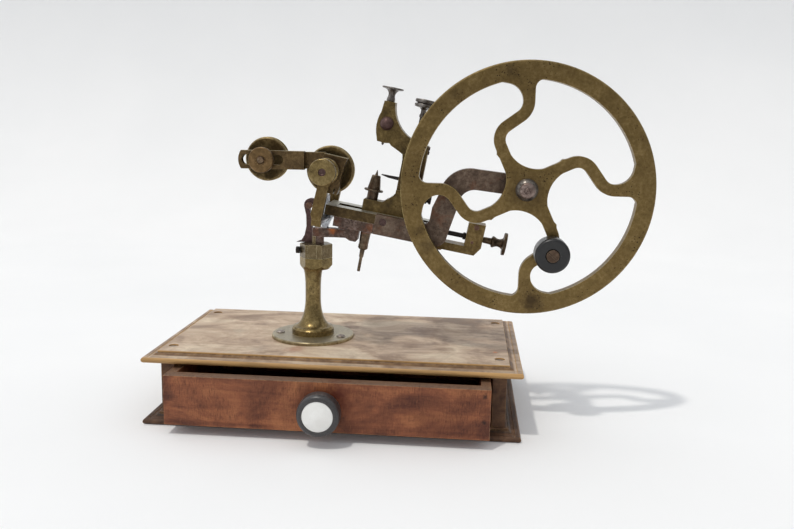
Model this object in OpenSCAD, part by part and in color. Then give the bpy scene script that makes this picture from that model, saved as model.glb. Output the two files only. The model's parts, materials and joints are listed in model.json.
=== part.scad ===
// Watchmaker's rounding-up machine on a wooden case with a drawer.
// X runs to the right, towards the handwheel, Y runs away from the user and Z is up.
// The origin is the middle of the underside of the bottom board.

/* [Case] */
// Width of both moulded boards
board_w = 260; // [250:1:280]
// Depth of both moulded boards
board_d = 150; // [145:1:165]
// Thickness of both moulded boards
board_t = 7; // [7:0.5:9]
// Distance from the nose of a board to the face of the case
board_overhang = 10; // [9.5:0.5:11]
// Height of the side panels between the boards
case_h = 37; // [36:1:45]
// Thickness of the side and back panels
panel_t = 9.5; // [8:0.5:10]

/* [Drawer] */
// Gap between the drawer and the panel on each side
drawer_gap = 1.5; // [0.5:0.1:2]
// Height of the drawer
drawer_h = 34; // [30:0.5:35]
// How far the drawer stands open at rest
drawer_open = 26; // [0:1:60]
// Thickness of the drawer front
drawer_front_t = 9; // [7:0.5:11]
// Thickness of the drawer sides and back
drawer_side_t = 6.5; // [5:0.5:8]
// Thickness of the drawer floor
drawer_floor_t = 3; // [2:0.5:4]
// Radius of the turned drawer knob
drawer_knob_r = 14.2; // [12:0.1:16]
// Radius of the porcelain disc in the knob
knob_disc_r = 10.2; // [8:0.1:11]

/* [Pillar] */
// Where the pillar stands across the case
pillar_x = -22.8; // [-30:0.1:-10]
// Where the pillar stands in depth
pillar_y = -10; // [-20:0.5:0]
// Radius of the screwed flange
flange_r = 30.4; // [27:0.1:32]
// Thickness of the screwed flange
flange_t = 2.6; // [2:0.1:4]
// Radius of the foot of the column
column_foot_r = 15.6; // [14:0.1:18]
// Radius of the waist of the column
column_waist_r = 5.7; // [5.5:0.1:7]
// Corner radius of the hexagonal collar
hex_r = 12.1; // [11.6:0.1:12.4]

/* [Head] */
// How far the head leans towards the handwheel
head_tilt = 10; // [10:0.5:11]
// Radius of the round stem that stands in the collar
stem_r = 4.2; // [3.8:0.1:4.4]
// Radius of the leadscrew
leadscrew_r = 1.7; // [1.4:0.1:1.8]
// Radius of the cutter spindle
spindle_r = 2.5; // [2:0.1:2.6]
// Running clearance of shafts and slides
clearance = 0.05; // [0.03:0.01:0.08]

/* [Wheels] */
// Outer radius of the handwheel
wheel_r = 85.4; // [80:0.1:88]
// Radial width of the handwheel's rim
rim_w = 11.8; // [11:0.1:14]
// Thickness of the handwheel and the pulleys
wheel_t = 8; // [7:0.5:8]
// Width of a handwheel spoke
spoke_w = 7.8; // [7:0.1:9]
// Distance from the handwheel's axle to the crank
crank_throw = 45.4; // [42:0.1:48]
// Radius of the crank knob
crank_knob_r = 11.7; // [10:0.1:13]
// Radius of the pulley on the cutter spindle
drive_pulley_r = 16.2; // [14:0.1:17]
// Radius of the idler pulley
idler_pulley_r = 14.8; // [13:0.1:15.5]

/* [Hidden] */
$fn = 96;

wood_top = "#b08c70";
wood_front = "#7a4a32";
wood_dark = "#4a3428";
brass = "#6e5832";
steel = "#5a4a42";
bright_steel = "#8a8580";
black = "#1c1a19";

// Case levels
case_w = board_w - 2 * board_overhang - 1;
case_d = board_d - 2 * board_overhang;
top_under_z = board_t + case_h;
base_h = top_under_z + board_t;
panel_x = case_w / 2;
front_y = -case_d / 2;
back_y = case_d / 2;

// Drawer
drawer_w = case_w - 2 * panel_t - 2 * drawer_gap;
drawer_d = case_d - panel_t - 1.5;
drawer_front_y = front_y - drawer_open;
drawer_z = board_t + 0.3;
drawer_back_y = drawer_front_y + drawer_d;
drawer_floor_z = drawer_z + 1.2;
knob_x = -2.2;
knob_z = drawer_z + drawer_h / 2 - 1.5;
knob_len = 14.5;
knob_disc_t = 1.4;

// Screws in the boards
board_screw_x = panel_x - panel_t / 2;
board_screw_y = 52;
board_screw_r = 3.4;
board_screw_sink = 0.9;

// Pillar levels
flange_top = base_h + flange_t;
foot_ring_top = flange_top + 4.6;
waist_z = base_h + 29;
waist_top_z = base_h + 36;
collar_low_z = base_h + 51.5;
collar_split_z = base_h + 60;
collar_gap = 0.2;
collar_top_z = base_h + 70;
spigot_r = 4.5;
spigot_len = 7.5;
collar_x = pillar_x + 2.1;
stem_x = collar_x + 1.6;
stem_head_z = collar_top_z + 5.8;
stem_top_z = collar_top_z + 11.8;
flange_screw_r = 3.2;
flange_screw_at = 24.2;
flange_screw_turns = [-22, 83, 186];

// The head's own frame: u along the bed, v away from the user, n square to the bed
head_x = -22.5;
head_y = pillar_y;
bed_top = 32.4;
bed_mid = 25.3;
bed_low = 18.4;
bed_left = 6.5;
bed_right = 94;
bed_half = 18;
slot_half = 5.5;
slot_left = 13.2;
slot_right = 90;
screw_n = 27.8;
leadscrew_left = 58;
block_left = 108.2;
block_right = 120.3;
plate_left = 42.8;
plate_half = 10;
rock_u = 5.8;
rock_n = 22;
shaft_r = 3;
spindle_u = 6.9;
spindle_n = 57.7;
runner_u = 36.2;
column_left = 52.5;
column_right = 69.3;
column_face = -3.5;
column_shoulder = 76.7;
plug_n = 82.4;
carriage_half = 6.5;
column_screw_u = 60.5;
wheel_u = 141;
wheel_n = 70.9;
arm_half = 4;
arm_end = 31.6;
arm_top_left = [1.5, 12.5];
arm_top_right = [22.3, 15.4];
bed_screw_places = [[20, -12], [20, 12], [38, -12], [38, 12]];
collar_screw_z = collar_top_z - 5.2;
collar_screw_r = 1.25;

// Goose-neck and end block
goose_screw_u = [48.4, 72];
goose_screw_n = 27.9;
goose_bend = [105, 55.5];
goose_bend_r = 21.7;
goose_crook = [109, 52];
goose_crook_r = 11.2;
block_half = 8;
bar_start = 72;
bar_under = 16.2;
block_screw_a = [114.2, 36.4];
block_screw_b = [113, 25.3];

// Carriage and runners
foot_left = 30.8;
foot_top = 40.6;
foot_under = bed_top + 0.05;
upper_arm_low = 82;
upper_arm_top = 111;
clamp_at = [37.1, 95.6];
side_screw_n = 48.2;
finger_n = 58.8;
keeper_screw_u = [56.5, 64.5];
sleeve_r = 3.2;
runner_shaft_r = 1.6;
pin_r = 1.15;
runner_r = 1.85;

// Cutter frame
boss_r = 4.5;
shaft_end_r = 1.9;
cutter_r = 11;
cutter_teeth = 36;

// Depth levels of the head, in v
cord_v = -26;
wheel_front = cord_v - wheel_t / 2;
wheel_back = cord_v + wheel_t / 2;
upright_t = 5;
foot_step = 1.2;
front_upright_v = -45;
rear_upright_v = 18.5;
yoke_front = front_upright_v + upright_t;
yoke_back = wheel_front - 2;
rear_bar_front = yoke_back - 5;
slotted_front = rear_bar_front - 5;
goose_front = -18;
goose_back = -10;
spindle_front = front_upright_v - 0.3;
nut_front = -head_y - slotted_front + 5.4;

// Places in the main frame
function head_pt(u, n) = [
    head_x + u * cos(head_tilt) + n * sin(head_tilt),
    collar_top_z + n * cos(head_tilt) - u * sin(head_tilt)
];
wheel_at = head_pt(wheel_u, wheel_n);
spindle_at = head_pt(spindle_u, spindle_n);
crank_angle = -67.2;
crank_stud_r = 2.2;
crank_len = 18;
crank_back = wheel_front - 0.8;
hub_cap_t = 4.4;
lower_bow = [-8.7, 33.5];
lower_bow_r = 10.8;
upper_bow = [-13, 58.6];
upper_bow_r = 12;
bow_turn = 126;
bow_end = 205;
rim_fillet_r = 11.9;
crank_at = wheel_at + crank_throw * [cos(crank_angle), sin(crank_angle)];
idler_at = [-49.8, 182.7];
bar_mid_z = 183.1;
bar_half_h = 6.2;
bar_left = -64.4;
bar_right = -21.3;
bar_slot_half = 3.35;
bar_slot_left = -64.2;
bar_slot_right = -35.6;

function arc(c, r, a0, a1, n = 12) =
    [for (i = [0:n]) c + r * [cos(a0 + (a1 - a0) * i / n), sin(a0 + (a1 - a0) * i / n)]];
function reversed(p) = [for (i = [len(p) - 1:-1:0]) p[i]];
function mirrored(p) = [for (q = reversed(p)) [-q[0], q[1]]];

// ---- Helpers ----

// Puts children, modelled in u, v, n, on the leaning head
module head() {
    translate([head_x, head_y, collar_top_z]) rotate([0, head_tilt, 0]) children();
}

// Stands a flat outline up, from depth y0 to depth y1
module slab(y0, y1) {
    translate([0, y1, 0]) rotate([90, 0, 0]) linear_extrude(y1 - y0) children();
}

// A round bar along the depth
module bar_y(x, z, r, y0, y1) {
    translate([x, y1, z]) rotate([90, 0, 0]) cylinder(r = r, h = y1 - y0);
}

// A round bar along the width
module bar_x(y, z, r, x0, x1) {
    translate([x0, y, z]) rotate([0, 90, 0]) cylinder(r = r, h = x1 - x0);
}

// A turned body along the depth: the profile holds radius and distance towards the user
module turned_y(x, y, z) {
    translate([x, y, z]) rotate([90, 0, 0]) rotate_extrude() children();
}

module box(a, b) {
    translate(a) cube(b - a);
}

// Straight screwdriver slot through a head that faces up
module slot_cut(r, depth, width) {
    translate([-r - 1, -width / 2, -depth]) cube([2 * r + 2, width, depth + 1]);
}

// Half section of a moulded edge, from the underside up to the flat
function moulded_edge(half, t) = concat(
    arc([half - 2.1, 2.1], 2.1, -90, 75, 9),
    [[half - 3.9, 4.2], [half - 4.3, 3.8]],
    arc([half - 4.3, 8.2], 4.4, -95, -142, 4),
    [[half - 8.9, 5.6]],
    arc([half - 9.5, t - 0.6], 0.6, 0, 90, 3)
);

module moulded_board(w, d, t) {
    intersection() {
        slab(-d, d) polygon(concat(moulded_edge(w / 2, t), mirrored(moulded_edge(w / 2, t))));
        rotate([0, 0, 90]) slab(-w, w)
            polygon(concat(moulded_edge(d / 2, t), mirrored(moulded_edge(d / 2, t))));
    }
}

module at_board_screws() {
    for (x = [-1, 1], y = [-1, 1]) translate([x * board_screw_x, y * board_screw_y, 0]) children();
}

// ---- Case ----

module bottom_board() {
    color(wood_dark) moulded_board(board_w, board_d, board_t);
}

module side_panel(side) {
    color(wood_dark) difference() {
        box([side * panel_x - (side > 0 ? panel_t : 0), front_y, board_t],
            [side * panel_x + (side > 0 ? 0 : panel_t), back_y, top_under_z]);
        at_board_screws() translate([0, 0, top_under_z - 16]) cylinder(r = 1.7, h = 20);
    }
}

module left_panel() {
    side_panel(-1);
}

module right_panel() {
    side_panel(1);
}

module back_panel() {
    color(wood_dark) box([-panel_x + panel_t, back_y - panel_t, board_t],
                         [panel_x - panel_t, back_y, top_under_z]);
}

module top_board() {
    color(wood_top) difference() {
        translate([0, 0, top_under_z]) moulded_board(board_w, board_d, board_t);
        at_board_screws() translate([0, 0, top_under_z - 1]) cylinder(r = 1.8, h = board_t + 2);
        at_board_screws() translate([0, 0, base_h - board_screw_sink - 2.2])
            cylinder(r1 = 1.8, r2 = board_screw_r + 0.1, h = 2.2);
        at_board_screws() translate([0, 0, base_h - board_screw_sink])
            cylinder(r = board_screw_r + 0.1, h = board_screw_sink + 1);
        at_flange_screws() translate([0, 0, base_h - 6]) cylinder(r = 1.5, h = 8);
    }
}

module board_screws() {
    color(bright_steel) at_board_screws() difference() {
        union() {
            translate([0, 0, top_under_z - 15]) cylinder(r = 1.7, h = 15 + board_t - board_screw_sink - 2);
            translate([0, 0, base_h - board_screw_sink - 2.2])
                cylinder(r1 = 1.7, r2 = board_screw_r, h = 2.2);
        }
        translate([0, 0, base_h - board_screw_sink]) slot_cut(board_screw_r, 1, 0.9);
    }
}

// ---- Drawer ----

module drawer_front() {
    color(wood_front) difference() {
        box([-drawer_w / 2, drawer_front_y, drawer_z],
            [drawer_w / 2, drawer_front_y + drawer_front_t, drawer_z + drawer_h]);
        box([-drawer_w / 2 + drawer_side_t - 3, drawer_front_y + drawer_front_t - 3, drawer_floor_z],
            [drawer_w / 2 - drawer_side_t + 3, drawer_front_y + drawer_front_t + 1,
             drawer_floor_z + drawer_floor_t]);
        bar_y(knob_x, knob_z, 3, drawer_front_y - 1, drawer_front_y + drawer_front_t + 1);
    }
}

module drawer_side(side) {
    inner = drawer_w / 2 - drawer_side_t;
    color(wood_front) difference() {
        box([side > 0 ? inner : -drawer_w / 2, drawer_front_y + drawer_front_t, drawer_z],
            [side > 0 ? drawer_w / 2 : -inner, drawer_back_y, drawer_z + drawer_h]);
        box([-inner - 3, drawer_front_y, drawer_floor_z],
            [inner + 3, drawer_back_y - 2, drawer_floor_z + drawer_floor_t]);
    }
}

module drawer_left_side() {
    drawer_side(-1);
}

module drawer_right_side() {
    drawer_side(1);
}

module drawer_back() {
    inner = drawer_w / 2 - drawer_side_t;
    color(wood_front) box([-inner, drawer_back_y - drawer_side_t, drawer_floor_z + drawer_floor_t],
                          [inner, drawer_back_y, drawer_z + drawer_h - 4]);
}

module drawer_floor() {
    inner = drawer_w / 2 - drawer_side_t;
    color(wood_dark) box([-inner - 3, drawer_front_y + drawer_front_t - 3, drawer_floor_z],
                         [inner + 3, drawer_back_y - 2, drawer_floor_z + drawer_floor_t]);
}

module knob_body() {
    rim = drawer_knob_r;
    color(black) difference() {
        turned_y(knob_x, drawer_front_y, knob_z) polygon(concat(
            [[0, -drawer_front_t], [3, -drawer_front_t], [3, 0], [6.4, 0], [6.4, 2]],
            arc([rim - 2, 5.2], 2, -90, 0, 6),
            arc([rim - 3.2, knob_len - 3.2], 3.2, 0, 90, 8),
            [[0, knob_len]]));
        bar_y(knob_x, knob_z, knob_disc_r, drawer_front_y - knob_len - 1,
              drawer_front_y - knob_len + knob_disc_t);
    }
}

module knob_disc() {
    color("#eceae4") turned_y(knob_x, drawer_front_y - knob_len + knob_disc_t, knob_z) polygon(concat(
        [[0, 0], [knob_disc_r, 0], [knob_disc_r, 1.1]],
        arc([0, -36.2], 38.6, 75, 90, 8)));
}

// ---- Pillar ----

module at_flange_screws() {
    translate([pillar_x, pillar_y, 0])
        for (a = flange_screw_turns) rotate([0, 0, a]) translate([flange_screw_at, 0, 0]) children();
}

module pillar_flange() {
    color(brass) difference() {
        translate([pillar_x, pillar_y, base_h]) rotate_extrude() polygon(concat(
            [[5, 0], [flange_r, 0]],
            arc([flange_r - 1.2, flange_t - 1.2], 1.2, 0, 90, 6),
            [[5, flange_t]]));
        at_flange_screws() translate([0, 0, base_h - 1]) cylinder(r = 1.6, h = flange_t + 2);
    }
}

module flange_screws() {
    color(bright_steel) at_flange_screws() difference() {
        union() {
            translate([0, 0, base_h - 5.8]) cylinder(r = 1.5, h = 6 + flange_t);
            translate([0, 0, flange_top]) cylinder(r = flange_screw_r, h = 0.5);
            translate([0, 0, flange_top + 0.5]) cylinder(r1 = flange_screw_r, r2 = 1.9, h = 0.9);
        }
        translate([0, 0, flange_top + 1.4]) rotate([0, 0, 15]) slot_cut(flange_screw_r, 0.9, 0.9);
    }
}

module pillar_column() {
    flare = column_foot_r - 1.2 - column_waist_r;
    flare_h = waist_z - foot_ring_top - 1;
    throat_h = collar_low_z - waist_top_z;
    color(brass) difference() {
        union() {
            translate([pillar_x, pillar_y, 0]) rotate_extrude() polygon(concat(
                [[0, base_h], [5, base_h], [5, flange_top], [column_foot_r, flange_top]],
                [[column_foot_r, foot_ring_top - 0.6], [column_foot_r - 0.6, foot_ring_top]],
                [for (a = [0:7.5:90]) [column_foot_r - 1.2 - flare * sin(a),
                                       waist_z - flare_h * cos(a)]],
                [for (a = [0:10:90]) [column_waist_r + 2 * (1 - cos(a)),
                                      waist_top_z + throat_h * sin(a)]],
                [[0, collar_low_z]]));
            translate([collar_x, pillar_y, collar_low_z - 0.1]) intersection() {
                cylinder(r = hex_r, h = collar_split_z - collar_gap - collar_low_z + 0.1, $fn = 6);
                cylinder(r1 = hex_r - 2.4, r2 = hex_r + 4.6, h = 9);
            }
        }
        translate([collar_x, pillar_y, collar_split_z - spigot_len - 1])
            cylinder(r = spigot_r + clearance, h = spigot_len + 2);
    }
}

// ---- Swivelling head ----

module swivel_collar() {
    color(brass) difference() {
        union() {
            translate([collar_x, pillar_y, collar_split_z]) intersection() {
                cylinder(r = hex_r, h = collar_top_z - collar_split_z, $fn = 6);
                cylinder(r1 = hex_r + 8, r2 = hex_r - 0.5, h = collar_top_z - collar_split_z);
            }
            translate([collar_x, pillar_y, collar_split_z - spigot_len])
                cylinder(r = spigot_r, h = spigot_len + 1);
            intersection() {
                translate([stem_x, pillar_y, collar_top_z - 1])
                    cylinder(r = stem_r + 0.5, h = stem_head_z - collar_top_z + 0.9);
                box([stem_x - 6, pillar_y - 6, collar_top_z - 1],
                    [stem_x - 1.2, pillar_y + 3, stem_head_z]);
            }
        }
        translate([stem_x, pillar_y, collar_split_z + 1]) cylinder(r = stem_r, h = 20);
        bar_x(pillar_y, collar_screw_z, collar_screw_r, collar_x - 20, stem_x);
        box([collar_x - 4.5, pillar_y - hex_r, collar_split_z - 1],
            [collar_x + 2.1, pillar_y - hex_r * cos(30) + 0.8, collar_top_z + 1]);
    }
}

module collar_screw() {
    head_right = collar_x - hex_r - 0.1;
    color(black) {
        bar_x(pillar_y, collar_screw_z, collar_screw_r - clearance, head_right - 1,
              stem_x - stem_r - 0.3);
        difference() {
            bar_x(pillar_y, collar_screw_z, 2.5, head_right - 2.6, head_right);
            for (a = [0:30:359]) translate([0, pillar_y, collar_screw_z]) rotate([a, 0, 0])
                translate([0, 0, 2.6]) bar_x(0, 0, 0.35, head_right - 3, head_right + 1, $fn = 16);
        }
    }
}

module support_arm() {
    color(steel) difference() {
        union() {
            translate([stem_x, pillar_y, 0]) rotate_extrude() polygon([
                [0, collar_split_z + 1], [stem_r, collar_split_z + 1], [stem_r, stem_head_z],
                [stem_r + 0.5, stem_head_z], [stem_r + 0.5, stem_top_z - 0.8],
                [stem_r - 0.3, stem_top_z], [0, stem_top_z]]);
            head() {
                slab(-arm_half, arm_half) polygon([
                    [-1.6, 7.5], [-1.8, 11.9], arm_top_left, arm_top_right, [24.5, bed_low + 1],
                    [arm_end, bed_low + 1], [arm_end, 9.6], [30.5, 7.9], [26, 7.9], [22.7, 9.3],
                    [14.6, 8.1], [6.6, 6.5]]);
                box([13.8, -bed_half, bed_low], [plate_left - 0.3, bed_half, bed_mid]);
            }
        }
        head() {
            box([arm_end - 0.1, -slot_half - 0.2, bed_low - 1],
                [plate_left, slot_half + 0.2, bed_mid + 1]);
            bar_z_holes();
        }
    }
}

// Top edge of the supporting arm at a place along the bed
function arm_top(u) = [u, arm_top_left[1] + (u - arm_top_left[0])
    * (arm_top_right[1] - arm_top_left[1]) / (arm_top_right[0] - arm_top_left[0])];

module bearing_post() {
    color(bright_steel) head() difference() {
        slab(-arm_half, arm_half) polygon([
            arm_top(4.8), [3, 16.6], [1.4, 19], [0.8, 23], [1.3, 28], [2.5, 32], [2.9, 36.6],
            [3.4, 37.3], [4.8, 37.4], [5.2, 36.8], [5.6, bed_top - 0.4], [bed_left, bed_top - 1],
            [bed_left, bed_mid], [13.2, bed_mid], [10.8, 22.7], [9, 18], arm_top(8.1)]);
        bar_y(rock_u, rock_n, shaft_r + clearance, -arm_half - 1, arm_half + 1);
    }
}

module bar_z_holes() {
    for (p = bed_screw_places) translate([p[0], p[1], bed_low - 1]) cylinder(r = 1.5, h = 12);
}

module rear_strut() {
    color(steel) difference() {
        slab(pillar_y + 4.4, pillar_y + 9.2) polygon(concat(
            [[-36.4, collar_top_z + 0.05], [-24, collar_top_z + 0.05], [-24.6, 131], [-25.2, 141]],
            arc([-23.5, 146], 3, 200, 100, 5),
            [head_pt(bed_left, 27.6), head_pt(bed_left, 31.4)],
            arc([-25.6, 148.6], 5, 80, 190, 8),
            [[-29, 141], [-28.8, 133], [-30.2, 126.5], [-32.6, 122.4]]));
        bar_y(-26.6, 148.4, 1.3, pillar_y, pillar_y + 12);
    }
}

module strut_screw() {
    difference() {
        union() {
            bar_y(-26.6, 148.4, 1.3, pillar_y + 3.8, pillar_y + 9.2);
            bar_y(-26.6, 148.4, 2.4, pillar_y + 3.2, pillar_y + 4.4);
        }
        translate([-26.6, pillar_y + 3.2, 148.4]) rotate([90, 0, 0]) rotate([0, 0, 80])
            slot_cut(2.4, 0.6, 0.6);
    }
}

module bed() {
    color(brass) difference() {
        head() box([bed_left, -bed_half, bed_mid], [bed_right, bed_half, bed_top]);
        head() {
            box([slot_left, -slot_half, bed_mid - 1], [slot_right, slot_half, bed_top + 1]);
            box([plate_left, -bed_half - 1, bed_mid - 1], [bed_right + 1, -plate_half, bed_top + 1]);
            bar_x(0, screw_n, leadscrew_r + clearance, slot_right - 1, bed_right + 1);
            bar_z_holes();
            for (u = goose_screw_u) bar_y(u, goose_screw_n, 1.4, -plate_half - 1, -6.5);
            translate([0, 0, bed_mid - 1]) at_block_fixings() cylinder(r = 1.3, h = 6);
        }
    }
}

// Four screws come up through the plate, and one holds the rear strut
module bed_screws() {
    color(steel) {
        head() for (p = bed_screw_places) translate([p[0], p[1], bed_low]) difference() {
            union() {
                cylinder(r = 1.5, h = 11);
                translate([0, 0, -1.4]) cylinder(r = 2.7, h = 1.4);
            }
            translate([0, 0, -1.4]) mirror([0, 0, 1]) slot_cut(2.7, 0.7, 0.7);
        }
        strut_screw();
    }
}

module goose_neck() {
    color(steel) difference() {
        head() slab(goose_front, goose_back) polygon(concat(
            [[plate_left, bed_low]],
            arc([86.6, bed_low + 8], 8, -90, 0, 8),
            [[95.4, 33], [97.8, 49]],
            arc(goose_crook, goose_crook_r, 172, 92, 10),
            [[126, 64.2]],
            arc([wheel_u, wheel_n], 9, -106, 118, 20),
            [[127, 78.5]],
            arc(goose_bend, goose_bend_r, 88, 180, 14),
            [[80.4, 45]],
            arc([76.4, 36.4], 4, 0, -90, 6),
            [[plate_left, bed_top]]));
        head() {
            bar_y(wheel_u, wheel_n, shaft_r, goose_front - 1, goose_back + 1);
            for (u = goose_screw_u) {
                bar_y(u, goose_screw_n, 1.4, goose_front - 1, goose_back + 1);
                bar_y(u, goose_screw_n, 2.6, goose_front - 1, goose_front + 1.8);
            }
        }
    }
}

module goose_neck_screws() {
    color(bright_steel) head() for (u = goose_screw_u) difference() {
        union() {
            bar_y(u, goose_screw_n, 1.4, goose_front + 0.6, -6.5);
            bar_y(u, goose_screw_n, 2.4, goose_front + 0.4, goose_front + 1.8);
        }
        translate([u, goose_front + 0.4, goose_screw_n]) rotate([90, 0, 0]) rotate([0, 0, 60])
            slot_cut(2.4, 0.6, 0.7);
    }
}

module at_block_fixings() {
    for (v = [-5, 12]) translate([bed_right - 3.6, v, 0]) children();
}

module end_block() {
    color(brass) difference() {
        head() {
            slab(-block_half, block_half) polygon([
                [bar_start, bar_under], [116, bar_under], [block_right - 0.2, 22.2], [block_right, 39],
                [block_left, 38.8], [block_left - 0.3, 21.7], [bar_start, 21.7]]);
            box([86.5, -block_half, 21], [bed_right, 15, bed_mid]);
        }
        head() {
            bar_x(0, screw_n, leadscrew_r + clearance, block_left - 2, block_right + 1);
            bar_y(block_screw_a[0], block_screw_a[1], 1.2, -block_half - 1, 4);
            bar_y(block_screw_b[0], block_screw_b[1], 1.1, -block_half - 1, -2);
            translate([0, 0, 16]) at_block_fixings() cylinder(r = 1.3, h = 12);
        }
    }
}

module fixing_screw(length) {
    cylinder(r = 1.3, h = length);
    cylinder(r = 2.2, h = 1);
}

module end_block_screws() {
    color(steel) head() {
        difference() {
            union() {
                bar_y(block_screw_a[0], block_screw_a[1], 1.2, -block_half, 4);
                bar_y(block_screw_a[0], block_screw_a[1], 1.9, -block_half - 0.9, -block_half);
            }
            translate([block_screw_a[0], -block_half - 0.9, block_screw_a[1]]) rotate([90, 0, 0])
                slot_cut(1.9, 0.5, 0.5);
        }
        bar_y(block_screw_b[0], block_screw_b[1], 1.1, -block_half + 0.2, -2);
        translate([bed_right - 3.6, -5, bar_under - 1]) fixing_screw(14);
        translate([bed_right - 3.6, 12, 20]) fixing_screw(10);
    }
}

// ---- Handwheel and its axle ----

module wheel_axle() {
    color(bright_steel) {
        bar_y(wheel_at[0], wheel_at[1], shaft_r, head_y + wheel_front - hub_cap_t - 2.5,
              head_y + goose_back + 0.5);
        bar_y(wheel_at[0], wheel_at[1], 5.6, head_y + wheel_back + 0.3, head_y + goose_front);
    }
}

module hub_cap() {
    color(bright_steel) turned_y(wheel_at[0], head_y + wheel_front - 0.2, wheel_at[1]) polygon(concat(
        [[shaft_r, 0], [7.6, 0], [7.6, 0.8]],
        arc([1, -2.8], 7.5, 29, 70, 6),
        [[shaft_r, hub_cap_t]]));
}

module axle_nut() {
    color(bright_steel) turned_y(wheel_at[0], head_y + wheel_front - 0.3 - hub_cap_t, wheel_at[1])
        polygon(concat(
            [[shaft_r, 0], [5.2, 0], [5.3, 0.3], [5.3, 2.2]],
            arc([4, 2.9], 1.3, 0, 70, 5),
            [[2.5, 4.9], [2.2, 4.4], [1.7, 4.4], [1.3, 5.1], [0.6, 5.1], [0, 4.2], [0, 2.4],
             [shaft_r, 2.4]]));
}

// One spoke: two bows that meet in an S, in a frame where it points up
module spoke() {
    half = spoke_w / 2;
    x = upper_bow[0] + upper_bow_r;
    rim = wheel_r - rim_w + 1;
    root = [lower_bow[0] - 3.1, 14.4];
    across = [half * cos(bow_end - 180), half * sin(bow_end - 180)];
    polygon(concat(
        [[x + half, rim]],
        arc(upper_bow, upper_bow_r + half, 0, bow_turn - 180, 10),
        arc(lower_bow, lower_bow_r - half, bow_turn, bow_end, 12),
        [root + across, root - across],
        arc(lower_bow, lower_bow_r + half, bow_end, bow_turn, 12),
        arc(upper_bow, upper_bow_r - half, bow_turn - 180, 0, 10),
        [[x - half, rim]]));
    polygon(concat(arc([x - half - rim_fillet_r, upper_bow[1]], rim_fillet_r, 0, 85, 10),
                   [[x - half - rim_fillet_r, rim], [x, rim], [x, upper_bow[1]]]));
}

// The middle of the web: a disc with a round bite between each two spokes
module wheel_middle() {
    difference() {
        circle(r = 30, $fn = 60);
        for (k = [0:3]) rotate(90 * k) translate([6.6, 36.4]) circle(r = 22.4, $fn = 90);
    }
}

module wheel_web() {
    rim_in = wheel_r - rim_w;
    intersection() {
        circle(r = rim_in + 3, $fn = 60);
        offset(r = -6, $fn = 32) offset(delta = 6) {
            difference() {
                circle(r = wheel_r, $fn = 60);
                circle(r = rim_in + 0.4, $fn = 60);
            }
            wheel_middle();
            for (k = [0:3]) rotate(90 * k) spoke();
            translate(crank_throw * [cos(crank_angle), sin(crank_angle)]) circle(r = 5.5);
        }
    }
}

// Section of a grooved rim from an inner radius to an outer one, over half its thickness
function grooved_rim(inner, outer, t, groove) = concat(
    [[inner, -t / 2], [outer - 0.6, -t / 2], [outer, -t / 2 + 0.6], [outer, -groove]],
    arc([outer + 0.4, 0], groove, -90, -270, 8),
    [[outer, groove], [outer, t / 2 - 0.6], [outer - 0.6, t / 2], [inner, t / 2]]);

// The hollow face of a pulley between two radii, on the side given by the sign
function dish(from, to, side) = [for (i = [0:6]) let(r = from + (to - from) * i / 6,
    depth = (max(from, to) - r) / abs(to - from))
    [r, side * (wheel_t / 2 - 0.2 - 2.2 * sin(90 * depth))]];

module handwheel() {
    web_t = wheel_t - 2;
    color(brass) difference() {
        translate([wheel_at[0], head_y, wheel_at[1]]) {
            translate([0, cord_v, 0]) rotate([90, 0, 0]) rotate_extrude($fn = 180)
                polygon(grooved_rim(wheel_r - rim_w, wheel_r, wheel_t, 2));
            slab(wheel_front, wheel_front + web_t) wheel_web();
            bar_y(0, 0, 11, wheel_front + 1, wheel_back);
        }
        bar_y(wheel_at[0], wheel_at[1], shaft_r + clearance, head_y + wheel_front - 1,
              head_y + wheel_back + 1);
        bar_y(crank_at[0], crank_at[1], crank_stud_r, head_y + wheel_front - 1,
              head_y + wheel_back + 1);
    }
}

module crank_stud() {
    front = head_y + crank_back - crank_len;
    color(steel) difference() {
        union() {
            bar_y(crank_at[0], crank_at[1], crank_stud_r, front, head_y + wheel_front + 6);
            bar_y(crank_at[0], crank_at[1], 4.2, front - 0.6, front + 1);
        }
        translate([crank_at[0], front - 0.6, crank_at[1]]) rotate([90, 0, 0]) rotate([0, 0, -42])
            slot_cut(4.2, 0.9, 0.9);
    }
}

module crank_knob() {
    color(black) difference() {
        turned_y(crank_at[0], head_y + crank_back, crank_at[1]) polygon(concat(
            [[crank_stud_r + clearance, 0], [crank_knob_r - 1.8, 0]],
            arc([crank_knob_r - 3, 3], 3, -60, 0, 5),
            arc([crank_knob_r - 2.4, crank_len - 2.4], 2.4, 0, 75, 6),
            [[5, crank_len - 0.3], [crank_stud_r + clearance, crank_len - 0.3]]));
        bar_y(crank_at[0], crank_at[1], 4.5, head_y + crank_back - crank_len - 1,
              head_y + crank_back - crank_len + 1.2);
    }
}

// ---- Leadscrew ----

module leadscrew() {
    color(black) head() {
        bar_x(0, screw_n, leadscrew_r, leadscrew_left, block_right + 3);
        bar_x(0, screw_n, 2.6, block_left - 2.4, block_left - 0.5);
    }
}

module leadscrew_knob() {
    color(black) head() translate([block_right + 0.3, 0, screw_n]) rotate([0, 90, 0])
        rotate_extrude() polygon(concat(
            [[leadscrew_r, 0], [2.2, 0], [2.4, 5.6], [4.1, 6.6], [4.1, 7.4]],
            arc([6.8, 11], 4, 215, 140, 6),
            [[4.3, 14.1], [8.1, 14.5], [8.1, 16.5], [7.8, 16.8], [0, 16.8], [0, 3], [leadscrew_r, 3]]));
}

// ---- Carriage with its runners ----

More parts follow.
